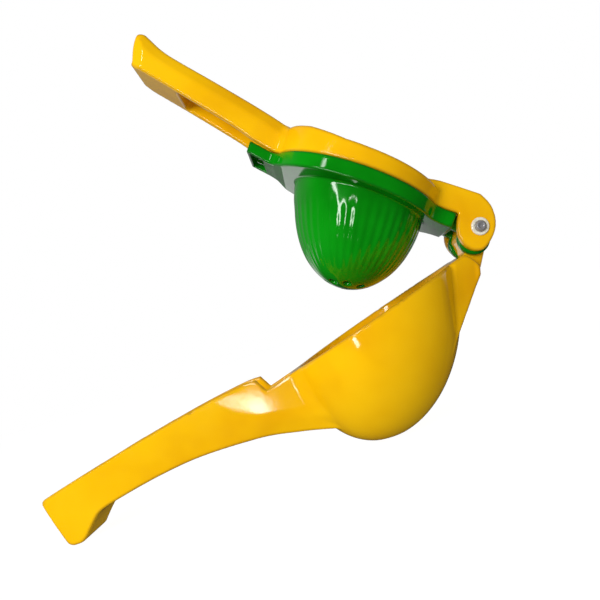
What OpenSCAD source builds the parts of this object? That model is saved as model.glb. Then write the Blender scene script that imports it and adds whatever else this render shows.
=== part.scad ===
// Hinged two-in-one citrus press: a lower arm with the large bowl, a middle
// bowl with the drain holes, and an upper arm with the press dome. All three
// turn on one rivet. Units are millimetres, +Z up, the press stands on the
// underside of the large bowl and on the tip of the lower handle.

/* [Hinge] */
// Height of the rivet's axis above the large bowl's rim
pin_z = 6; // [5:0.5:7]
// Radius of the rivet's shank
pin_r = 2.2; // [1.8:0.1:2.6]
// Radial running clearance of the shank in the turning lugs
pin_clear = 0.05; // [0.02:0.01:0.1]
// Half width of the lower arm's middle lug
lug_half = 6; // [5:0.5:7]
// Thickness of each ear of the middle bowl
mid_ear_t = 3.2; // [2.8:0.1:3.6]
// Thickness of each outer ear of the upper arm
ear_t = 3.7; // [3:0.1:4.5]
// Side play between neighbouring ears
ear_gap = 0.3; // [0.2:0.05:0.5]

/* [Pose] */
// Slope of the large bowl's rim as the press stands
rim_tilt = 14.6; // [14:0.1:17]
// Opening between the two arms as the press stands
open_angle = 51.3; // [0:0.1:60]

/* [Large bowl] */
// Distance from the rivet to the middle of the large bowl
bowl_l = 52.9; // [51:0.1:55]
// Half width of the large bowl
bowl_a = 36.2; // [34:0.1:38]
// Half length of the egg shape that the large bowl is cut from
bowl_b = 52.7; // [48:0.1:54]
// Lean of that egg towards the handle
bowl_lean = 32.4; // [20:0.1:34]
// Half width of the large bowl's inside
cup_a = 34.2; // [32:0.1:35]
// Half length of the egg that the inside is cut from
cup_b = 49; // [46:0.1:51]
// Lean of the inside towards the handle
cup_lean = 30.1; // [20:0.1:32]
// Diameter of the small flat that the bowl stands on
foot_d = 13; // [10:1:16]
// Fall of the large bowl's rim towards the handle
rim_fall = 1.9; // [0:0.1:2]

/* [Middle bowl] */
// Distance from the rivet to the middle of the strainer dome
dome_l = 48; // [47:0.1:50]
// Half width of the strainer dome
dome_a = 26.9; // [25:0.1:28]
// Half length of the strainer dome
dome_b = 37.8; // [34:0.1:39]
// Lean of the strainer dome towards the hinge
dome_lean = 9; // [0:0.5:12]
// Wall of the strainer dome
dome_wall = 2.3; // [2:0.1:3]
// Radius of the middle bowl's flange
flange_r = 35.6; // [34:0.1:36]
// Distance from the rivet to the middle of the flange
flange_l = 51.6; // [50:0.1:53]
// Height of the flange's underside above the large bowl's rim, closed
flange_z = 3; // [2.5:0.1:4]
// Thickness of the flange
flange_t = 5.2; // [4:0.1:6]
// Diameter of a drain hole
drain_d = 3.2; // [2.8:0.1:3.6]
// Distance from the rivet to the end of the finger tab
tab_end = 97.3; // [92:0.5:100]
// Width of the finger tab
tab_w = 22; // [18:0.5:23]

/* [Upper arm] */
// Radius of the upper arm's ring
ring_r = 34.8; // [33:0.1:35.4]
// Thickness of the ring at its middle
ring_t = 7.6; // [5:0.1:8]
// Half width of the press dome
press_a = 21.2; // [19:0.1:22]
// Half length of the press dome
press_b = 31; // [26:0.1:31.5]
// Wall of the press dome
press_wall = 2.6; // [2.2:0.1:3.5]
// Width of both handles
handle_w = 24; // [22:0.5:25]
// Wall of both handles
handle_wall = 2.6; // [2:0.1:3.2]

/* [Rivet] */
// Radius of the rivet's round heads
head_r = 2.8; // [2.5:0.1:4]
// Height of the rivet's round heads
head_h = 1.5; // [1:0.1:2]
// Radius of the washers under the heads
washer_r = 3.6; // [3.4:0.1:5]
// Thickness of the washers
washer_t = 0.8; // [0.6:0.1:1.2]

/* [Hidden] */
seg = 96;
shift_x = 96.53;
play = 0.15;

flange_top = flange_z + flange_t;
ring_bottom = flange_top + play;
ring_top = ring_bottom + ring_t;
mid_in = lug_half + ear_gap;
mid_out = mid_in + mid_ear_t;
ear_in = mid_out + ear_gap;
ear_out = ear_in + ear_t;
web_half = 13;

// Lowest point of the large bowl's egg along the standing direction, which
// sets the height of the floor under the rivet.
lean_to_floor = bowl_lean + 0 - rim_tilt;
bowl_reach = sqrt(pow(bowl_a * sin(lean_to_floor), 2) + pow(bowl_b * cos(lean_to_floor), 2));
foot_curve = bowl_a * bowl_a * bowl_b * bowl_b / pow(bowl_reach, 3);
foot_cut = foot_curve - sqrt(foot_curve * foot_curve - foot_d * foot_d / 4);
centre_drop = bowl_l * sin(rim_tilt) + (pin_z + 0.4) * cos(rim_tilt);
pin_height = centre_drop + bowl_reach - foot_cut;

// A smooth curve through hand-placed points.
function cr(a, b, c, d, t) = 0.5 * (2 * b + (c - a) * t + (2 * a - 5 * b + 4 * c - d) * t * t
                                    + (3 * b - a - 3 * c + d) * t * t * t);
function curve(p, n = 5) = concat(
    [for (i = [0 : len(p) - 2]) for (k = [0 : n - 1])
        cr(p[max(i - 1, 0)], p[i], p[i + 1], p[min(i + 2, len(p) - 1)], k / n)],
    [p[len(p) - 1]]);

// Outline of half an egg, a wide and b long, for turning about its long axis.
function egg(a, b, n = 18) = concat([[0, -b]],
    [for (i = [1 : n - 1]) [a * sin(90 * i / n), -b * cos(90 * i / n)]],
    [[a, 0], [a * 0.995, b * 0.1], [a * 0.92, b * 0.4], [0, b * 0.4]]);

// Upper edge and underside of the lower handle, rivet axis at x = 0.
low_top = [[-206.9, 6], [-206, 7.9], [-202, 8.5], [-185, 8.4], [-166, 8], [-148, 7.2], [-131, 6.1], [-114, 4.3], [-107.3, 3.2]];
low_under = [[-80, -37], [-93.5, -29], [-104.4, -23.2], [-118.6, -16.9], [-141.5, -10.6], [-160, -8], [-178, -7],
             [-187, -7.2], [-191.6, -9.2], [-197.8, -13.2]];
low_tip = [[-201, -14.6], [-203.9, -13.8], [-205.3, -11.4], [-207.3, 4.8]];
low_seat = [[-106, -3], [-92, -2.6], [-80, -2.2]];
// Floor of the channel in the lower handle.
low_floor = [[-96, -24], [-104.4, -19.8], [-118.6, -13.7], [-141.5, -7.6], [-160, -5], [-178, -4], [-187, -3.6]];

// Upper edge and lower edge of the upper handle.
up_top = [[-70, 16.8], [-79, 17.9], [-84, 20.2], [-98.3, 23.5], [-118, 27.5], [-136, 31.1], [-143, 33.3], [-149, 36.3]];
up_tip = [[-151.5, 37.6], [-154, 36.6], [-154.8, 34], [-152.6, 25.4], [-151, 23.4], [-148, 22.6]];
up_under = [[-148, 22.6], [-131.4, 19.1], [-107, 13.6], [-97, 10.7], [-88, 8.8], [-80, 8.4], [-70, 8.4]];
up_roof = [[-88, 15.6], [-98.3, 18.6], [-118, 22.6], [-131.5, 25.4]];

// Edge of the outer ears, from the front round below the rivet to the top.
ear_edge = [[-9.6, 8.1], [-8.7, 4.4], [-6.9, 0.3], [-3.6, -2.7], [0.7, -3.6], [4.3, -2], [6.1, 2.2], [6.4, 7], [4.7, 11.7],
            [1.1, 15.8], [-3.8, 18.4]];

// Upper edge of the upper arm's ring, measured from ring_top.
ring_edge = [[-90, 2.5], [-81, 2.3], [-74.4, 1.8], [-68, 0.9], [-60, 0], [-51, -0.5], [-39, -0.8], [-28, -1.1], [-14, -1.5]];

module side_plate(points, half) {
    rotate([90, 0, 0]) linear_extrude(height = 2 * half, center = true) polygon(points);
}

module across(r, half, x = 0, z = pin_z) {
    translate([x, 0, z]) rotate([90, 0, 0]) cylinder(r = r, h = 2 * half, center = true, $fn = seg);
}

module leaning_egg(a, b, lean, l, z) {
    translate([-l, 0, z]) rotate([0, lean, 0]) rotate_extrude($fn = seg) polygon(egg(a, b));
}

// Plan of a handle that ends at -l in round corners of radius r.
module round_end(l, r) {
    translate([0, 0, -60]) linear_extrude(height = 120) {
        translate([-l + r, -handle_w / 2]) square([l - r - 40, handle_w]);
        translate([-l, -handle_w / 2 + r]) square([l - 40, handle_w - 2 * r]);
        for (s = [-1, 1]) translate([-l + r, s * (handle_w / 2 - r)]) circle(r = r, $fn = 48);
    }
}

// Everything below the rim plane, and below the floor of the standing press.
module below(z, size = 300) { translate([-size, -size / 2, z - size]) cube([2 * size, size, size]); }
module rim_side() { translate([-16, 0, 0]) rotate([0, -rim_fall, 0]) below(0); }
module floor_cut() {
    translate([0, 0, pin_z]) rotate([0, rim_tilt, 0]) translate([0, 0, -pin_z])
        below(pin_z - pin_height);
}

module lower_arm() {
    color([0.98, 0.73, 0.05]) stand() difference() {
        union() {
            intersection() {
                leaning_egg(bowl_a, bowl_b, bowl_lean, bowl_l, -0.4);
                rim_side();
            }
            intersection() {
                side_plate(concat(curve(low_top), low_seat, curve(low_under), low_tip), handle_w / 2);
                round_end(207.4, 7);
            }
            // Bracket between the bowl and the hinge.
            side_plate([[-27, 0], [-10, 0], [-8.2, -7.2], [-9.8, -10.2], [-33.5, -27.2], [-40, -36], [-44, -30]], ear_out);
            // Middle lug and its web.
            across(6.4, lug_half);
            side_plate([[-13, 0], [-8.6, 0], [-8.2, 6.5], [-4.5, 10.5], [0, 6], [5.7, 3.2], [-1.2, -3.2], [-6.4, -8.4],
                        [-9.6, -10.2], [-14, -6]], lug_half);
        }
        leaning_egg(cup_a, cup_b, cup_lean, bowl_l - 0.1, -0.4);
        difference() {
            across(12.9, ear_out + 1);
            across(14, lug_half);
        }
        side_plate(concat([[-187, 20], [-96, 20]], curve(low_floor)), handle_w / 2 - handle_wall);
        across(pin_r + pin_clear, lug_half + 1);
        floor_cut();
    }
}

module middle_bowl() {
    color([0.02, 0.55, 0.06]) swing(open_angle) difference() {
        union() {
            translate([-flange_l, 0, flange_z]) cylinder(r = flange_r, h = flange_t, $fn = seg);
            intersection() {
                leaning_egg(dome_a, dome_b, -dome_lean, dome_l, 4);
                below(flange_z + 1);
            }
            // Finger tab.
            side_plate([[-60, flange_z], [-83, flange_z], [-tab_end, 5.3], [-tab_end, 10], [-86.5, flange_top - 0.1],
                        [-60, flange_top]], tab_w / 2);
            // Web and ears at the hinge.
            side_plate([[-40, flange_z], [-26, flange_z + 1.6], [-10.2, 2.7], [-9.9, flange_top], [-40, flange_top]],
                       web_half);
            side_plate([[-20, 3], [-8, 2.4], [0, 1.8], [0, 6], [-4, 10.2], [-9, flange_top], [-20, flange_top]], mid_out);
            across(6, mid_out);
            across(6.6, mid_out, 0.1, 1.8);
        }
        intersection() {
            leaning_egg(dome_a - dome_wall, dome_b - dome_wall, -dome_lean, dome_l, 4);
            below(flange_top + 1);
        }
        translate([-dome_l, 0, 5.6]) cylinder(r = dome_a - dome_wall + 0.9, h = 10, $fn = seg);
        // Room for the lower arm's middle lug.
        across(8.8, mid_in);
        side_plate([[-8.9, 6], [-8.9, -20], [20, -20], [20, 30], [0, 30]], mid_in);
        // Hollow underside of the tab.
        side_plate([[-95.8, 0], [-95.8, 8.2], [-90.2, 7], [-90.2, 0]], tab_w / 2 - 1.8);
        across(pin_r + pin_clear, mid_out + 1);
        drains();
    }
}

// Drain holes through the end of the strainer dome.
module drains() {
    translate([-dome_l, 0, 4]) rotate([0, -dome_lean, 0]) {
        translate([0, 0, -dome_b - 5]) cylinder(d = drain_d, h = 12, $fn = 32);
        for (i = [0 : 7]) rotate([0, 0, 45 * i]) translate([7.8, 0, -dome_b - 5])
            cylinder(d = drain_d, h = 14, $fn = 32);
    }
}

module upper_arm() {
    color([0.98, 0.70, 0.03]) swing(open_angle) difference() {
        union() {
            intersection() {
                translate([-flange_l, 0, ring_bottom]) cylinder(r = ring_r, h = ring_t + 4, $fn = seg);
                side_plate(concat([[-14, ring_bottom - 1], [-90, ring_bottom - 1]],
                                  [for (p = ring_edge) [p[0], p[1] + ring_top]]), ring_r + 1);
            }
            intersection() {
                leaning_egg(press_a, press_b, -dome_lean, dome_l, 4);
                below(ring_bottom + 1);
            }
            translate([-dome_l, 0, 5.6]) cylinder(r = press_a + 0.6, h = 4, $fn = seg);
            intersection() {
                side_plate(concat(curve(up_top), up_tip, curve(up_under)), handle_w / 2);
                round_end(155, 6);
            }
            // Hinge block and the outer ears.
            side_plate(concat([[-39, ring_bottom], [-9.9, ring_bottom]], curve(ear_edge), [[-20.5, 18.3],
                        [-25.5, 17.6], [-32, 16.2], [-39, 15.2]]), ear_out);
        }
        // Hollow back of the press dome.
        intersection() {
            leaning_egg(press_a - press_wall, press_b - press_wall, -dome_lean, dome_l, 4);
            below(ring_top + 10);
        }
        translate([-dome_l, 0, 6]) cylinder(r = press_a - press_wall + 0.7, h = 20, $fn = seg);
        // Channel of the handle, open downwards.
        side_plate(concat([[-131.5, 5], [-88, 5]], curve(up_roof)), handle_w / 2 - handle_wall);
        // Room between the ears.
        across(11.9, ear_in);
        side_plate([[-12, -20], [30, -20], [30, 40], [-9, 40], [-12, 6]], ear_in);
        across(pin_r, ear_out + 1);
    }
}

module hinge_rivet() {
    color([0.72, 0.72, 0.73]) stand() {
        across(pin_r, ear_out + washer_t);
        for (s = [-1, 1]) translate([0, s * (ear_out + washer_t), pin_z]) rotate([-90 * s, 0, 0])
            rotate_extrude($fn = seg)
                polygon(concat([[0, 0]], [for (i = [0 : 6]) [head_r * cos(15 * i), head_h * sin(15 * i)]]));
    }
}

module rivet_washers() {
    color([0.9, 0.88, 0.82]) stand() for (s = [-1, 1])
        translate([0, s * (ear_out + washer_t / 2), pin_z]) rotate([90, 0, 0]) difference() {
            cylinder(r = washer_r, h = washer_t, center = true, $fn = seg);
            cylinder(r = pin_r, h = washer_t + 1, center = true, $fn = seg);
        }
}

// Puts the rivet's axis where it is on the standing press.
module stand() {
    translate([shift_x, 0, pin_height]) rotate([0, -rim_tilt, 0]) translate([0, 0, -pin_z]) children();
}

// The same for a piece that has turned about the rivet.
module swing(a) {
    stand() translate([0, 0, pin_z]) rotate([0, a, 0]) translate([0, 0, -pin_z]) children();
}

lower_arm();
middle_bowl();
upper_arm();
hinge_rivet();
rivet_washers();
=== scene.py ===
"""Looks of the hinged citrus press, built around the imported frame.

The three castings are modelled as distance fields in the press's closed frame
(millimetres, rivet axis at x = 0, z = PIN_Z), turned into meshes, and stood up
in the row frame. Rivet and washers are turned profiles."""

import math

import bpy
import numpy as np
import openvdb
from mathutils import Matrix, Quaternion, Vector


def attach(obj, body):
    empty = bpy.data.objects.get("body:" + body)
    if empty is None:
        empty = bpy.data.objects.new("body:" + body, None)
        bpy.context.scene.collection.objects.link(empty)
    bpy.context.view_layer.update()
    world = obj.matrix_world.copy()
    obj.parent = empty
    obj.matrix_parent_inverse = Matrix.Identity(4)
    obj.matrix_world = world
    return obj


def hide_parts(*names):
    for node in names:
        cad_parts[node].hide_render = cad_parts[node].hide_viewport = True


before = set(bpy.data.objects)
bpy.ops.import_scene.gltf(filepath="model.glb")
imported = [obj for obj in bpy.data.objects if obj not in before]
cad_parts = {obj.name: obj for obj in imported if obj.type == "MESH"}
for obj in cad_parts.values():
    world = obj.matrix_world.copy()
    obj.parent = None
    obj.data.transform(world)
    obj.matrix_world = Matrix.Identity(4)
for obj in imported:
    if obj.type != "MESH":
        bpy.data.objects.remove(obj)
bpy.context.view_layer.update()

# ---------------------------------------------------------------- dimensions
PIN_X, PIN_H, PIN_Z = 96.53, 70.112, 6.0  # rivet axis in the row frame, mm
TILT = math.radians(14.6)  # slope of the large bowl's rim
OPEN = math.radians(51.3)  # opening of the two arms
F = np.float32


def row_matrix(angle):
    """Closed frame in mm to row frame in metres, for a piece turned by angle."""
    c, s = math.cos(angle), math.sin(angle)
    m = Matrix(
        (
            (c, 0, -s, PIN_X + PIN_Z * s),
            (0, 1, 0, 0),
            (s, 0, c, PIN_H - PIN_Z * c),
            (0, 0, 0, 1),
        )
    )
    return Matrix.Scale(0.001, 4) @ m


LOWER = row_matrix(TILT)
UPPER = row_matrix(TILT - OPEN)


# ------------------------------------------------------------ distance tools
def curve(p, n=12):
    """Smooth line through given points."""
    out = []
    for i in range(len(p) - 1):
        a, b = np.array(p[max(i - 1, 0)], float), np.array(p[i], float)
        c, d = np.array(p[i + 1], float), np.array(p[min(i + 2, len(p) - 1)], float)
        for k in range(n):
            t = k / n
            out.append(
                0.5
                * (
                    2 * b
                    + (c - a) * t
                    + (2 * a - 5 * b + 4 * c - d) * t * t
                    + (3 * b - a - 3 * c + d) * t**3
                )
            )
    out.append(np.array(p[-1], float))
    return [list(map(float, q)) for q in out]


def polygon(x, z, points):
    """Signed distance to a closed outline, negative inside."""
    x, z = np.broadcast_arrays(x, z)
    best = np.full(x.shape, 1e9, F)
    inside = np.zeros(x.shape, bool)
    n = len(points)
    for i in range(n):
        ax, az = points[i]
        bx, bz = points[(i + 1) % n]
        ex, ez = bx - ax, bz - az
        ll = ex * ex + ez * ez
        if ll < 1e-12:
            continue
        wx, wz = x - ax, z - az
        t = np.clip((wx * ex + wz * ez) / ll, 0, 1)
        best = np.minimum(best, (wx - ex * t) ** 2 + (wz - ez * t) ** 2)
        if az != bz:
            inside ^= ((az > z) != (bz > z)) & (x < ex * (z - az) / ez + ax)
    d = np.sqrt(best)
    return np.where(inside, -d, d).astype(F)


def rmax(a, b, r):
    """Common part of two solids, its outer edge rounded to radius r."""
    return np.minimum(np.maximum(a, b), -r) + np.hypot(
        np.maximum(a + r, 0), np.maximum(b + r, 0)
    )


def rmin(a, b, r):
    """Two solids joined with a fillet of radius r."""
    return np.maximum(np.minimum(a, b), r) - np.hypot(
        np.maximum(r - a, 0), np.maximum(r - b, 0)
    )


def egg(x, y, z, a, b, lean, cx, cz):
    """Egg (spheroid) a wide and b long, its axis leaning about Y."""
    t = math.radians(lean)
    c, s = math.cos(t), math.sin(t)
    dx, dz = x - cx, z - cz
    u, w = dx * c - dz * s, dx * s + dz * c
    k0 = np.sqrt((u / a) ** 2 + (y / a) ** 2 + (w / b) ** 2) + 1e-6
    k1 = np.sqrt((u / a**2) ** 2 + (y / a**2) ** 2 + (w / b**2) ** 2) + 1e-9
    return k0 * (k0 - 1) / k1


def smooth(x, lo, hi):
    t = np.clip((x - lo) / (hi - lo), 0, 1)
    return t * t * (3 - 2 * t)


# ---------------------------------------------------------------- outlines
LOW_TOP = curve(
    [
        [-208, 8.3],
        [-202, 8.5],
        [-185, 8.4],
        [-166, 8],
        [-148, 7.2],
        [-131, 6.1],
        [-114, 4.3],
        [-107.6, 2.8],
    ]
)
LOW_UNDER = curve(
    [
        [-80, -37.4],
        [-93.5, -29.5],
        [-104.4, -23.9],
        [-118.6, -17.6],
        [-141.5, -11.2],
        [-160, -8.5],
        [-178, -7.4],
        [-187, -7.5],
        [-191.6, -9.5],
        [-197.8, -13.5],
    ]
) + [[-201, -14.7], [-203.9, -13.9], [-205.4, -11.4], [-207.0, 4.8]]
LOW_FLOOR = curve(
    [
        [-96, -24],
        [-104.4, -19.8],
        [-118.6, -13.7],
        [-141.5, -7.6],
        [-160, -5],
        [-178, -4],
        [-187, -3.6],
    ]
)
UP_TOP = curve(
    [
        [-70, 16.8],
        [-79, 17.9],
        [-84, 20.2],
        [-98.3, 23.9],
        [-118, 28.1],
        [-136, 31.7],
        [-143, 33.6],
        [-149, 36.3],
        [-151.4, 37.2],
        [-153.8, 36.4],
        [-154.7, 34],
        [-153.8, 29.8],
        [-152.6, 25.4],
    ]
)
UP_UNDER = curve(
    [
        [-152, 23.6],
        [-148, 22.6],
        [-131.4, 19.1],
        [-107, 13.6],
        [-97, 10.7],
        [-88, 8.8],
        [-80, 8.4],
        [-74, 8.36],
    ]
)
UP_ROOF = curve([[-88, 15.6], [-98.3, 18.6], [-118, 22.6], [-131.5, 25.4]])
EAR_EDGE = curve(
    [
        [-9.6, 8.1],
        [-8.7, 4.4],
        [-6.9, 0.3],
        [-3.6, -2.7],
        [0.7, -3.6],
        [4.3, -2],
        [5.9, 2.2],
        [6.2, 7],
        [4.6, 11.7],
        [1.1, 15.8],
        [-3.8, 18.4],
    ]
)


# ---------------------------------------------------------------- castings
def handle(edge, plan, ay, width, depth, crease, round_off, much=1.0):
    """Bar with flat sides, its outer edge line drawn in by a bevel band."""
    slope = depth / width
    bevel = (ay - 12 + slope * much * (edge + width)) / math.hypot(1, slope)
    return rmax(rmax(plan, bevel, crease), edge, round_off)


def lower_arm(x, y, z):
    ay = np.abs(y)
    pin = np.hypot(x, z - PIN_Z)
    top = polygon(
        x,
        z,
        [[-260, 8.3]]
        + LOW_TOP
        + [[-106, -3], [-92, -2.55], [-16, 0], [40, 1.86], [40, -120], [-260, -120]],
    )
    under = polygon(
        x,
        z,
        [[-60, 70], [-60, -46]] + LOW_UNDER + [[-207.05, 7], [-207.05, 70]],
    )
    # Handle: flat sides, round lips above, and below a bevel at the bowl's end.
    plan = rmax((ay - 12 + 0.07 * (z + 4)) / 1.0024, -207.05 - x, 2.5)
    arm = handle(under, plan, ay, 4.3, 1.3, 1.0, 1.1, smooth(x, -130, -108))
    # The bowl is drawn flat towards the bracket, with a crease at its edge.
    across = (x + 18.55 - 0.517 * z) / 1.126
    flat = np.minimum(
        (ay - 17.3 + 0.37 * across) / 1.066, (ay - 17.3 + 1.8 * across) / 2.06
    )
    flat = np.minimum(flat, ay - 13.5)
    # Its wall thins a little towards the hinge.
    bowl = egg(x, y, z, 36.2, 52.7, 32.4, -52.9, -0.4) + 0.6 * smooth(across, -52, -14)
    bowl = rmax(bowl, flat, 1.2)
    body = rmin(arm, bowl, 1.0 + 3.0 * smooth(-under, 1, 7))
    bracket = rmax(
        polygon(
            x,
            z,
            [
                [-44, 12],
                [-10.4, 12],
                [-10, 0],
                [-8.2, -7.2],
                [-9.8, -10.2],
                [-32.2, -26.2],
                [-37.5, -30.5],
                [-44, -26],
            ],
        ),
        np.maximum(flat, ay - 16.6),
        0.8,
    )
    body = rmin(body, bracket, 0.9)
    body = rmax(body, top, 0.8 + 1.2 * smooth(-x, 198, 205))
    # Pockets beside the lug, for the ears of the other arms.
    body = rmax(body, -rmax(pin - 12.9, 6 - ay, 0.3), 0.5)
    web = polygon(
        x,
        z,
        [
            [-13, -0.6],
            [-8.8, -0.2],
            [-8.2, 6.5],
            [-4.5, 10.5],
            [0, 6],
            [5.7, 3.2],
            [-1.2, -3.2],
            [-6.4, -8.4],
            [-9.9, -9.6],
            [-14, -6],
        ],
    )
    lug = rmax(np.minimum(pin - 6.4, web), ay - 6, 0.7)
    body = rmin(body, lug, 0.7)
    body = rmax(body, -egg(x, y, z, 34.2, 49, 30.1, -52.8, -0.4), 0.8)
    channel = rmax(
        polygon(x, z, [[-187, 40], [-96, 40]] + LOW_FLOOR), ay - 9.4, 2.4
    )
    body = rmax(body, -channel, 0.9)
    body = rmax(body, 2.3 - pin, 0.25)
    floor = -(PIN_H + x * math.sin(TILT) + (z - PIN_Z) * math.cos(TILT))
    return rmax(body, floor, 1.0)


def flutes(x, y, z, a, b, lean, cx, cz, count, depth):
    """Shallow ribs that run along an egg's meridians."""
    t = math.radians(lean)
    c, s = math.cos(t), math.sin(t)
    dx, dz = x - cx, z - cz
    u, w = dx * c - dz * s, dx * s + dz * c
    fade = smooth(-w, 2.5, 12) * smooth(np.hypot(u, y), 12.5, 19)
    return depth * fade * (np.cos(count * np.arctan2(y, u)) - 0.2)


def middle_bowl(x, y, z):
    ay = np.abs(y)
    pin = np.hypot(x, z - PIN_Z)
    disc = np.hypot(x + 51.6, y) - 35.6
    tab = np.maximum(ay - 11, np.maximum(-97.9 - x, x + 60))
    web = np.maximum(ay - 13, np.maximum(-40 - x, x + 9.9))
    plan = rmin(rmin(disc, tab, 3.0), web, 5.0)
    plan = rmax(plan, -98.2 - x, 1.6)
    side = polygon(
        x,
        z,
        [
            [-97.3, 5.3],
            [-85, 3.3],
            [-81, 2.2],
            [-17, 2.2],
            [-10.2, 2.2],
            [-9.95, 8.2],
            [-82, 8.2],
            [-87, 8.25],
            [-97.3, 10],
        ],
    )
    plate = rmax(plan, side, 0.6)
    dome = egg(x, y, z, 26.9, 37.8, -9, -48, 4) + flutes(
        x, y, z, 26.9, 37.8, -9, -48, 4, 44, 0.11
    )
    # It widens a little under the flange, except beside the hinge.
    rise = np.clip((z + 12) / 15, 0, 1)
    dome = dome - 1.3 * rise * smooth(rise, 0, 0.5) * (1 - smooth(x, -50, -30))
    body = rmin(plate, rmax(dome, z - 5, 0.4), 0.6)
    ears = np.minimum(
        polygon(
            x,
            z,
            [[-14, 3.5], [-8, 2.3], [0, 1.8], [0, 6], [-4, 10.2], [-8.7, 8.2], [-14, 7.7]],
        ),
        np.minimum(pin - 6, np.hypot(x - 0.1, z - 1.8) - 6.6),
    )
    body = rmin(body, rmax(ears, ay - 9.5, 0.6), 0.7)
    room = np.minimum(
        pin - 8.8,
        polygon(x, z, [[-8.9, 6], [-8.9, -20], [20, -20], [20, 30], [0, 30]]),
    )
    body = rmax(body, -rmax(room, ay - 6.3, 0.2), 0.5)
    # Inside, open at the top.
    inner = np.minimum(
        egg(x, y, z, 24.6, 35.5, -9, -48, 4),
        rmax(np.hypot(x + 48, y) - 25.5, 5.6 - z, 0.3),
    )
    body = rmax(body, -inner, 0.8)
    # Hollow under the end of the tab.
    pocket = rmax(
        np.maximum(np.maximum(-96.2 - x, x + 90.3), z - 8.1), ay - 9.8, 0.6
    )
    body = rmax(body, -pocket, 0.5)
    # Drain holes along the dome's axis.
    t = math.radians(-9)
    c, s = math.cos(t), math.sin(t)
    u = (x + 48) * c - (z - 4) * s
    w = (x + 48) * s + (z - 4) * c
    holes = np.hypot(u, y)
    for i in range(8):
        a = math.radians(45 * i)
        holes = np.minimum(
            holes, np.hypot(u - 7.8 * math.cos(a), y - 7.8 * math.sin(a))
        )
    body = rmax(body, -np.maximum(holes - 1.6, w + 10), 0.3)
    return rmax(body, 2.3 - pin, 0.25)


def upper_arm(x, y, z):
    ay = np.abs(y)
    pin = np.hypot(x, z - PIN_Z)
    disc = np.hypot(x + 51.6, y)
    ring = rmax(
        disc - 34.8,
        polygon(
            x,
            z,
            [
                [-120, -40],
                [-120, 19.5],
                [-81, 19.3],
                [-74.4, 18.6],
                [-68, 17.3],
                [-60, 15.9],
                [-51, 15.4],
                [-39, 15.1],
                [-28, 14.8],
                [20, 13],
                [20, -40],
            ],
        ),
        1.2,
    )
    top = polygon(x, z, [[-70, -20]] + UP_TOP + [[-152.3, -20]])
    arm = handle(top, rmax(ay - 12, -154.9 - x, 5), ay, 4.6, 2.1, 0.4, 1.1)
    block = rmax(
        polygon(
            x,
            z,
            [[-39, 5], [-9.9, 5], [-9.7, 7.8]]
            + EAR_EDGE
            + [[-13, 18.4], [-20.5, 18.3], [-25.5, 17.6], [-32, 16.2], [-39, 15.2]],
        ),
        ay - 13.5,
        0.7,
    )
    body = rmin(rmin(ring, arm, 2.6), block, 1.4)
    base = polygon(
        x,
        z,
        [[-180, 23.6]]
        + UP_UNDER
        + [
            [-9.9, 8.35],
            [-9.75, 7.9],
            [-9.7, -40],
            [40, -40],
            [40, 80],
            [-180, 80],
        ],
    )
    body = rmax(body, base, 0.9)
    dome = np.minimum(
        egg(x, y, z, 21.2, 31, -9, -48, 4), np.maximum(np.hypot(x + 48, y) - 21.8, 5.6 - z)
    )
    dome = rmax(dome, z - 10, 0.3)
    body = rmin(body, dome, 0.9)
    inner = np.minimum(
        egg(x, y, z, 18.6, 28.4, -9, -48, 4),
        rmax(np.hypot(x + 48, y) - 19.3, 6 - z, 0.3),
    )
    body = rmax(body, -inner, 1.0)
    channel = rmax(polygon(x, z, [[-131.5, -10], [-88, -10]] + UP_ROOF), ay - 9.4, 2.4)
    body = rmax(body, -channel, 0.9)
    room = np.minimum(
        pin - 11.9,
        polygon(x, z, [[-12, -20], [30, -20], [30, 40], [-9, 40], [-12, 6]]),
    )
    body = rmax(body, -rmax(room, ay - 9.8, 0.3), 0.6)
    return rmax(body, 2.22 - pin, 0.2)


# ------------------------------------------------------------------- meshes
def field_mesh(name, field, low, high, size):
    """Mesh of a field that is symmetric about y = 0, its points on the surface."""
    ys = np.arange(0, high[1] + 3 * size, size, dtype=F)
    xs = np.arange(low[0] - 3 * size, high[0] + 3 * size, size, dtype=F)
    zs = np.arange(low[2] - 3 * size, high[2] + 3 * size, size, dtype=F)
    half = field(xs[:, None, None], ys[None, :, None], zs[None, None, :]).astype(F)
    whole = np.concatenate([half[:, :0:-1, :], half], axis=1)
    band = 3 * size
    grid = openvdb.FloatGrid(band)
    grid.copyFromArray(np.ascontiguousarray(np.clip(whole, -band, band)))
    points, quads = grid.convertToQuads(isovalue=0)
    points = np.array(points, np.float64) * size + np.array(
        [xs[0], -ys[-1], zs[0]], np.float64
    )
    quads = np.array(quads, np.int64)

    def value(p):
        return field(
            p[:, 0].astype(F), p[:, 1].astype(F), p[:, 2].astype(F)
        ).astype(np.float64)

    h = 0.12
    for _ in range(3):
        f0 = value(points)
        g = np.stack(
            [
                value(points + np.array([h, 0, 0])) - value(points - np.array([h, 0, 0])),
                value(points + np.array([0, h, 0])) - value(points - np.array([0, h, 0])),
                value(points + np.array([0, 0, h])) - value(points - np.array([0, 0, h])),
            ],
            -1,
        ) / (2 * h)
        gg = np.maximum((g**2).sum(-1), 0.2)
        step = (f0 / gg)[:, None] * g
        length = np.linalg.norm(step, axis=1, keepdims=True)
        step *= np.minimum(1, 0.6 * size / np.maximum(length, 1e-9))
        points -= step
    return points, quads


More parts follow.
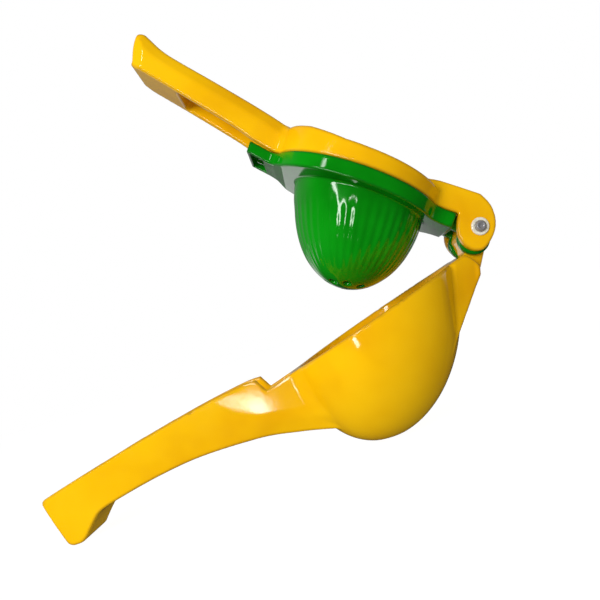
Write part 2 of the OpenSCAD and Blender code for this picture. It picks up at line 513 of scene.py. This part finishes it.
def make_mesh(name, points, quads, matrix):
    mesh = bpy.data.meshes.new(name)
    mesh.vertices.add(len(points))
    mesh.vertices.foreach_set("co", points.astype(F).ravel())
    mesh.loops.add(quads.size)
    mesh.loops.foreach_set("vertex_index", quads.astype(np.int32).ravel())
    mesh.polygons.add(len(quads))
    mesh.polygons.foreach_set(
        "loop_start", np.arange(0, quads.size, 4, dtype=np.int32)
    )
    mesh.update(calc_edges=True)
    mesh.validate()
    mesh.transform(matrix)
    mesh.shade_smooth()
    obj = bpy.data.objects.new(name, mesh)
    bpy.context.scene.collection.objects.link(obj)
    return obj


def bend_of(points, quads, rounds=3):
    """How sharply the surface turns at each point: above 0 on outer edges,
    below 0 in hollows, smoothed over a few rounds."""
    a, b, c, d = (points[quads[:, k]] for k in range(4))
    n = np.cross(c - a, d - b)
    normal = np.zeros_like(points)
    for k in range(4):
        np.add.at(normal, quads[:, k], n)
    normal /= np.maximum(np.linalg.norm(normal, axis=1, keepdims=True), 1e-12)
    total = np.zeros(len(points))
    weight = np.zeros(len(points))
    for k in range(4):
        i, j = quads[:, k], quads[:, (k + 1) % 4]
        e = points[j] - points[i]
        ll = np.maximum((e**2).sum(1), 1e-9)
        v = ((normal[j] - normal[i]) * e).sum(1) / ll
        for q in (i, j):
            np.add.at(total, q, v)
            np.add.at(weight, q, 1)
    value = total / np.maximum(weight, 1)
    for _ in range(rounds):
        s = np.zeros(len(points))
        w = np.zeros(len(points))
        for k in range(4):
            i, j = quads[:, k], quads[:, (k + 1) % 4]
            np.add.at(s, i, value[j])
            np.add.at(s, j, value[i])
            np.add.at(w, i, 1)
            np.add.at(w, j, 1)
        value = 0.5 * value + 0.5 * s / np.maximum(w, 1)
    return value, normal


def float_attribute(mesh, name, values):
    layer = mesh.attributes.new(name, "FLOAT", "POINT")
    layer.data.foreach_set("value", values.astype(F))


def casting(name, field, low, high, size, matrix, body):
    points, quads = field_mesh(name, field, low, high, size)
    # openvdb winds its quads inwards or outwards by version; make it outwards.
    a, b, c, d = (points[quads[:, k]] for k in range(4))
    volume = (np.cross(b - a, c - a) * (a - points.mean(0))).sum()
    if volume < 0:
        quads = quads[:, ::-1]
    bend, normal = bend_of(points, quads)
    obj = make_mesh(name, points, quads, matrix)
    float_attribute(obj.data, "edge", np.clip(bend, 0, 3))
    float_attribute(obj.data, "hollow", np.clip(-bend, 0, 3))
    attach(obj, body)
    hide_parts(name.replace("_casting", ""))
    print(name, len(points), "points", len(quads), "quads")
    return obj


# ---------------------------------------------------------------- materials
def nodes_of(name):
    m = bpy.data.materials.new(name)
    m.use_nodes = True
    t = m.node_tree
    t.nodes.clear()
    out = t.nodes.new("ShaderNodeOutputMaterial")
    s = t.nodes.new("ShaderNodeBsdfPrincipled")
    t.links.new(s.outputs[0], out.inputs[0])
    return m, t, s


def add(tree, kind, **settings):
    n = tree.nodes.new(kind)
    for k, v in settings.items():
        if k in n.inputs:
            n.inputs[k].default_value = v
        else:
            setattr(n, k, v)
    return n


def ramp(tree, source, stops):
    n = tree.nodes.new("ShaderNodeValToRGB")
    e = n.color_ramp.elements
    while len(e) < len(stops):
        e.new(0.5)
    for item, (pos, col) in zip(e, stops):
        item.position = pos
        item.color = col if len(col) == 4 else (*col, 1)
    tree.links.new(source, n.inputs[0])
    return n.outputs[0]


def mix(tree, fac, a, b, blend="MIX"):
    n = tree.nodes.new("ShaderNodeMix")
    n.data_type = "RGBA"
    n.blend_type = blend
    for sock, v in ((0, fac), (6, a), (7, b)):
        if isinstance(v, bpy.types.NodeSocket):
            tree.links.new(v, n.inputs[sock])
        elif sock == 0:
            n.inputs[0].default_value = v
        else:
            n.inputs[sock].default_value = (*v, 1)
    return n.outputs[2]


def enamel(name, main, light, dark_tone_and_shade, edge):
    """Thick gloss enamel on a casting: slow colour drift, faint orange peel,
    painted shade darkening the outer edges and painted shade in hollows."""
    m, t, s = nodes_of(name)
    place = add(t, "ShaderNodeNewGeometry").outputs["Position"]
    drift = add(t, "ShaderNodeTexNoise", Scale=28.0, Detail=3.0, Roughness=0.5)
    t.links.new(place, drift.inputs["Vector"])
    base = ramp(t, drift.outputs[0], [(0.3, dark_tone_and_shade), (0.52, main), (0.75, light)])
    # Outer edges painted darker towards the edge colour: painted shade along the edges.
    edge_at = add(t, "ShaderNodeAttribute", attribute_name="edge")
    edge_f = ramp(
        t, edge_at.outputs["Fac"], [(0.2, (0, 0, 0)), (0.6, (0.7, 0.7, 0.7))]
    )
    base = mix(t, edge_f, base, edge)
    # Hollows painted towards the darker tone: painted shade in creases and corners.
    hollow_at = add(t, "ShaderNodeAttribute", attribute_name="hollow")
    painted_hollow_shade = ramp(
        t, hollow_at.outputs["Fac"], [(0.15, (0, 0, 0)), (0.8, (0.5, 0.5, 0.5))]
    )
    base = mix(t, painted_hollow_shade, base, dark_tone_and_shade)
    t.links.new(base, s.inputs["Base Color"])
    # Roughness: a little uneven, rougher where the coat is thin.
    rough = add(t, "ShaderNodeTexNoise", Scale=160.0, Detail=4.0, Roughness=0.6)
    t.links.new(place, rough.inputs["Vector"])
    r = ramp(
        t,
        rough.outputs[0],
        [(0.3, (0.06, 0.06, 0.06)), (0.7, (0.11, 0.11, 0.11))],
    )
    r = mix(t, edge_f, r, (0.3, 0.3, 0.3))
    t.links.new(r, s.inputs["Roughness"])
    # Orange peel and the slight unevenness of the casting under the coat.
    peel = add(t, "ShaderNodeTexNoise", Scale=420.0, Detail=2.0, Roughness=0.5)
    t.links.new(place, peel.inputs["Vector"])
    b1 = add(t, "ShaderNodeBump", Strength=0.06, Distance=0.0002)
    t.links.new(peel.outputs[0], b1.inputs["Height"])
    sag = add(t, "ShaderNodeTexNoise", Scale=70.0, Detail=1.0, Roughness=0.4)
    t.links.new(place, sag.inputs["Vector"])
    b2 = add(t, "ShaderNodeBump", Strength=0.12, Distance=0.0004)
    t.links.new(sag.outputs[0], b2.inputs["Height"])
    t.links.new(b1.outputs[0], b2.inputs["Normal"])
    t.links.new(b2.outputs[0], s.inputs["Normal"])
    s.inputs["Specular IOR Level"].default_value = 0.5
    s.inputs["IOR"].default_value = 1.5
    s.inputs["Coat Weight"].default_value = 0.0
    return m


# Colours: main, lighter and darker tone; the darker tone also paints shade into hollows, and the
# last is the painted shade for outer edges.
yellow = enamel(
    "yellow_gloss_enamel",
    (0.92, 0.50, 0.002),
    (0.97, 0.56, 0.004),
    (0.80, 0.38, 0.001),
    (0.42, 0.20, 0.004),
)
green = enamel(
    "green_gloss_enamel",
    (0.002, 0.27, 0.004),
    (0.004, 0.32, 0.008),
    (0.001, 0.17, 0.002),
    (0.002, 0.10, 0.004),
)


def steel(name, colour, rough, metal):
    m, t, s = nodes_of(name)
    place = add(t, "ShaderNodeNewGeometry").outputs["Position"]
    n = add(t, "ShaderNodeTexNoise", Scale=900.0, Detail=5.0, Roughness=0.65)
    t.links.new(place, n.inputs["Vector"])
    low = tuple(c * 0.72 for c in colour)
    t.links.new(
        ramp(t, n.outputs[0], [(0.35, low), (0.65, colour)]), s.inputs["Base Color"]
    )
    t.links.new(
        ramp(
            t,
            n.outputs[0],
            [(0.3, (rough * 0.7,) * 3), (0.7, (rough * 1.3,) * 3)],
        ),
        s.inputs["Roughness"],
    )
    b = add(t, "ShaderNodeBump", Strength=0.25, Distance=0.0001)
    t.links.new(n.outputs[0], b.inputs["Height"])
    t.links.new(b.outputs[0], s.inputs["Normal"])
    s.inputs["Metallic"].default_value = metal
    return m


rivet_metal = steel("rivet_satin_steel", (0.42, 0.41, 0.42), 0.38, 0.45)
# The washers' near-white colour is partly their light plating and partly a painted sheen standing
# in for their reflection.
washer_metal_and_sheen = steel("washer_steel_painted_sheen", (0.97, 0.92, 0.76), 0.35, 0.1)

# ----------------------------------------------------------------- castings
SIZE = 0.62
lower = casting(
    "lower_arm_casting",
    lower_arm,
    (-208, -37, -54),
    (7, 37, 13),
    SIZE * 1.11,
    LOWER,
    "lower_arm",
)
middle = casting(
    "middle_bowl_casting",
    middle_bowl,
    (-99, -36.5, -34.5),
    (7.5, 36.5, 13),
    SIZE * 0.88,
    UPPER,
    "middle_bowl",
)
upper = casting(
    "upper_arm_casting",
    upper_arm,
    (-156, -36, -28),
    (7, 36, 39),
    SIZE,
    UPPER,
    "upper_arm",
)
for o, m, slot in (
    (lower, yellow, "yellow_enamel"),
    (middle, green, "green_enamel"),
    (upper, yellow, "yellow_enamel"),
):
    o.data.materials.append(m)


# -------------------------------------------------------------------- rivet
def turned(name, profile, count, flip=False):
    """Closed ring of points turned about Y; profile is (radius, y) in mm."""
    pts, faces = [], []
    n = len(profile)
    for i in range(count):
        a = 2 * math.pi * i / count
        for r, y in profile:
            pts.append((r * math.cos(a), y, PIN_Z + r * math.sin(a)))
    for i in range(count):
        j = (i + 1) % count
        for k in range(n - 1):
            faces.append((i * n + k, i * n + k + 1, j * n + k + 1, j * n + k))
    return pts, faces


def solid(name, parts, matrix, material, body, node):
    verts, faces = [], []
    for p, f in parts:
        base = len(verts)
        verts += p
        faces += [tuple(base + i for i in q) for q in f]
    mesh = bpy.data.meshes.new(name)
    mesh.from_pydata(verts, [], faces)
    import bmesh

    bm = bmesh.new()
    bm.from_mesh(mesh)
    bmesh.ops.remove_doubles(bm, verts=bm.verts, dist=1e-5)
    bmesh.ops.dissolve_degenerate(bm, edges=bm.edges, dist=1e-6)
    bmesh.ops.recalc_face_normals(bm, faces=bm.faces)
    bm.to_mesh(mesh)
    bm.free()
    mesh.transform(matrix)
    mesh.shade_smooth()
    obj = bpy.data.objects.new(name, mesh)
    bpy.context.scene.collection.objects.link(obj)
    mesh.materials.append(material)
    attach(obj, body)
    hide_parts(node)
    return obj


EAR_OUT, WASHER_T, WASHER_R, HEAD_R, HEAD_H = 13.5, 0.8, 3.6, 2.4, 1.5
y0 = EAR_OUT + WASHER_T
# One solid: shank, and at both ends a spun head with a dished middle.
half = [
    (0.0, y0 + 0.75),
    (0.4, y0 + 0.72),
    (0.75, y0 + 0.86),
    (1.05, y0 + 1.25),
    (1.3, y0 + HEAD_H),
    (1.55, y0 + HEAD_H - 0.02),
    (1.85, y0 + 1.2),
    (2.15, y0 + 0.75),
    (2.33, y0 + 0.3),
    (HEAD_R, y0 + 0.0),
    (2.33, y0 - 0.02),
    (2.2, y0 - 0.02),
]
profile = half + [(r, -y) for r, y in reversed(half)]
rivet = solid(
    "hinge_rivet_spun",
    [turned("r", profile, 72)],
    UPPER,
    rivet_metal,
    "upper_arm",
    "hinge_rivet",
)
ring = [
    (2.2, EAR_OUT + 0.02),
    (WASHER_R - 0.15, EAR_OUT + 0.02),
    (WASHER_R, EAR_OUT + 0.2),
    (WASHER_R - 0.05, EAR_OUT + 0.45),
    (WASHER_R - 0.3, EAR_OUT + WASHER_T),
    (WASHER_R - 0.6, EAR_OUT + WASHER_T),
    (HEAD_R - 0.1, EAR_OUT + WASHER_T - 0.1),
    (2.2, EAR_OUT + WASHER_T - 0.1),
    (2.2, EAR_OUT + 0.02),
]
other = [(r, -y) for r, y in ring]
washers = solid(
    "rivet_washers_bright",
    [turned("a", ring, 72), turned("b", other, 72)],
    UPPER,
    washer_metal_and_sheen,
    "upper_arm",
    "rivet_washers",
)

# -------------------------------------------------------------------- stage
scene = bpy.context.scene
scene.view_settings.view_transform = "Standard"
scene.view_settings.look = "None"
scene.view_settings.exposure = 0
scene.view_settings.gamma = 1

floor_mesh = bpy.data.meshes.new("floor")
S = 6.0
floor_mesh.from_pydata(
    [(-S, -S, 0), (S, -S, 0), (S, S, 0), (-S, S, 0)], [], [(0, 1, 2, 3)]
)
floor = bpy.data.objects.new("floor", floor_mesh)
scene.collection.objects.link(floor)
fm, ft, fs = nodes_of("pale_floor")
ft.nodes.remove(fs)
out = [n for n in ft.nodes if n.type == "OUTPUT_MATERIAL"][0]


def value(tree, kind, a, b, c=None):
    """Math node on sockets or numbers."""
    n = tree.nodes.new("ShaderNodeMath")
    n.operation = kind
    for i, v in enumerate((a, b, c)):
        if v is None:
            continue
        if isinstance(v, bpy.types.NodeSocket):
            tree.links.new(v, n.inputs[i])
        else:
            n.inputs[i].default_value = v
    return n.outputs[0]


# White to the camera, a little darker for the light that it throws back, and
# in mirror reflections bright only behind the press.
ray = add(ft, "ShaderNodeLightPath").outputs
spot = add(ft, "ShaderNodeSeparateXYZ")
ft.links.new(add(ft, "ShaderNodeNewGeometry").outputs["Position"], spot.inputs[0])
behind = add(ft, "ShaderNodeMapRange", interpolation_type="SMOOTHSTEP")
ft.links.new(spot.outputs[1], behind.inputs[0])
for i, v in ((1, 0.14), (2, 0.50), (3, 0.02), (4, 0.80)):
    behind.inputs[i].default_value = v
beside = add(ft, "ShaderNodeMapRange", interpolation_type="SMOOTHSTEP")
ft.links.new(spot.outputs[0], beside.inputs[0])
for i, v in ((1, -0.20), (2, 0.12), (3, 1.20), (4, 1.00)):
    beside.inputs[i].default_value = v
level = value(ft, "MULTIPLY", ray["Is Camera Ray"], 0.96)
level = value(ft, "MULTIPLY_ADD", ray["Is Diffuse Ray"], 0.47, level)
mirror = value(ft, "MULTIPLY", ray["Is Glossy Ray"], behind.outputs[0])
mirror = value(ft, "MULTIPLY", mirror, beside.outputs[0])
level = value(ft, "ADD", level, mirror)
glow = add(ft, "ShaderNodeEmission", Color=(1, 1, 1, 1))
ft.links.new(level, glow.inputs["Strength"])
chalk = add(ft, "ShaderNodeBsdfDiffuse")
ft.links.new(value(ft, "MULTIPLY", ray["Is Camera Ray"], 0.12), chalk.inputs["Color"])
both = add(ft, "ShaderNodeAddShader")
ft.links.new(glow.outputs[0], both.inputs[0])
ft.links.new(chalk.outputs[0], both.inputs[1])
ft.links.new(both.outputs[0], out.inputs[0])
floor_mesh.materials.append(fm)

# The studio: white seen directly, darker above and behind for the soft light,
# and in mirror reflections a pale wall behind the press.
world = bpy.data.worlds.new("studio")
scene.world = world
world.use_nodes = True
wt = world.node_tree
wt.nodes.clear()
wo = wt.nodes.new("ShaderNodeOutputWorld")
bg = add(wt, "ShaderNodeBackground", Color=(1, 1, 1, 1))
wray = add(wt, "ShaderNodeLightPath").outputs
way = add(wt, "ShaderNodeSeparateXYZ")
wt.links.new(add(wt, "ShaderNodeTexCoord").outputs["Generated"], way.inputs[0])
wall = add(wt, "ShaderNodeMapRange", interpolation_type="SMOOTHSTEP")
wt.links.new(way.outputs[1], wall.inputs[0])
for i, v in ((1, -0.2), (2, 0.5), (3, 0.02), (4, 0.22)):
    wall.inputs[i].default_value = v
side = add(wt, "ShaderNodeMapRange", interpolation_type="SMOOTHSTEP")
wt.links.new(way.outputs[0], side.inputs[0])
for i, v in ((1, -0.9), (2, 0.9), (3, 0.74), (4, 0.47)):
    side.inputs[i].default_value = v
cards = []
for axis, low, high, dark in ((1, -0.1, 0.7, 0.45), (2, 0.1, 0.9, 0.60)):
    card = add(wt, "ShaderNodeMapRange", interpolation_type="SMOOTHSTEP")
    wt.links.new(way.outputs[axis], card.inputs[0])
    for i, v in ((1, low), (2, high), (3, 1.0), (4, dark)):
        card.inputs[i].default_value = v
    cards.append(card.outputs[0])
around = value(wt, "MULTIPLY", side.outputs[0], cards[0])
around = value(wt, "MULTIPLY", around, cards[1])
mirror = value(wt, "MULTIPLY", wray["Is Glossy Ray"], wall.outputs[0])
soft = value(wt, "MULTIPLY_ADD", wray["Is Diffuse Ray"], around, mirror)
seen = value(wt, "ADD", soft, wray["Is Camera Ray"])
wt.links.new(seen, bg.inputs["Strength"])
wt.links.new(bg.outputs[0], wo.inputs[0])

# ------------------------------------------------------------------- camera
roll = math.radians(18.2)
cam_data = bpy.data.cameras.new("camera")
cam_data.lens = 36
cam_data.sensor_width = 36
cam_data.shift_x = -16 / 600
cam_data.shift_y = 30 / 600
cam_data.clip_start = 0.01
cam_data.clip_end = 30
cam = bpy.data.objects.new("camera", cam_data)
scene.collection.objects.link(cam)
right = Vector((math.cos(roll), 0, -math.sin(roll)))
up = Vector((math.sin(roll), 0, math.cos(roll)))
back = Vector((0, -1, 0))
cam.matrix_world = Matrix(
    (
        (right.x, up.x, back.x, 0.022333),
        (right.y, up.y, back.y, -0.250),
        (right.z, up.z, back.z, 0.051464),
        (0, 0, 0, 1),
    )
)
scene.camera = cam


def softbox(name, place, aim, width, height, power, colour=(1, 1, 1)):
    data = bpy.data.lights.new(name, "AREA")
    data.shape = "RECTANGLE"
    data.size, data.size_y = width, height
    data.energy = power
    data.color = colour
    obj = bpy.data.objects.new(name, data)
    scene.collection.objects.link(obj)
    obj.location = place
    obj.rotation_mode = "QUATERNION"
    obj.rotation_quaternion = (Vector(aim) - Vector(place)).to_track_quat("-Z", "Y")
    return obj


def gloss_box(name, place, aim, width, height, glow, lean=0.0, spread=180):
    """Softbox that only shows as a reflection, glow is its radiance. A spread
    under 180 gathers the light about its axis, which is then brighter."""
    box = softbox(name, place, aim, width, height, glow * math.pi * width * height)
    box.rotation_quaternion = box.rotation_quaternion @ Quaternion((0, 0, 1), lean)
    box.visible_diffuse = False
    box.visible_camera = False
    if spread < 180:
        box.data.spread = math.radians(spread)
    return box


key = softbox("key", (-0.37, -0.65, 0.30), (0.0, 0, 0.06), 0.35, 0.35, 5.1)
key.visible_glossy = False
key.visible_camera = False
# Low fill for the far side.
fill = softbox("fill", (0.28, 0.75, 0.13), (0.0, 0, 0.08), 0.6, 0.6, 3.8)
fill.visible_glossy = False
fill.visible_camera = False
gloss_box("top_left", (-0.271, -0.505, 0.573), (0.079, -0.105, 0.053), 0.06, 0.028, 16)
gloss_box("window", (-0.030, -0.114, 0.113), (0.053, -0.034, 0.115), 0.011, 0.115, 18, 0.35)
gloss_box("bowl_spot", (0.000, -0.093, 0.036), (0.035, -0.034, 0.0425), 0.006, 0.025, 1.1, 0.41, 44)
# A bright pane and the slats of a blind beside it, far off to the left.
gloss_box("pane", (-0.125, -0.704, 0.059), (0.005, -0.016, 0.024), 0.030, 0.042, 24, 0.5)
for i in range(10):
    u, v = -0.050 + 0.0054 * i, 0.020 - 0.0015 * i
    place = (-0.144 + 0.983 * u, -0.70 - 0.186 * u, 0.068 + v)
    aim = (place[0] + 0.130, place[1] + 0.688, place[2] - 0.035)
    gloss_box("slat_%d" % i, place, aim, 0.0026, 0.018, 24)
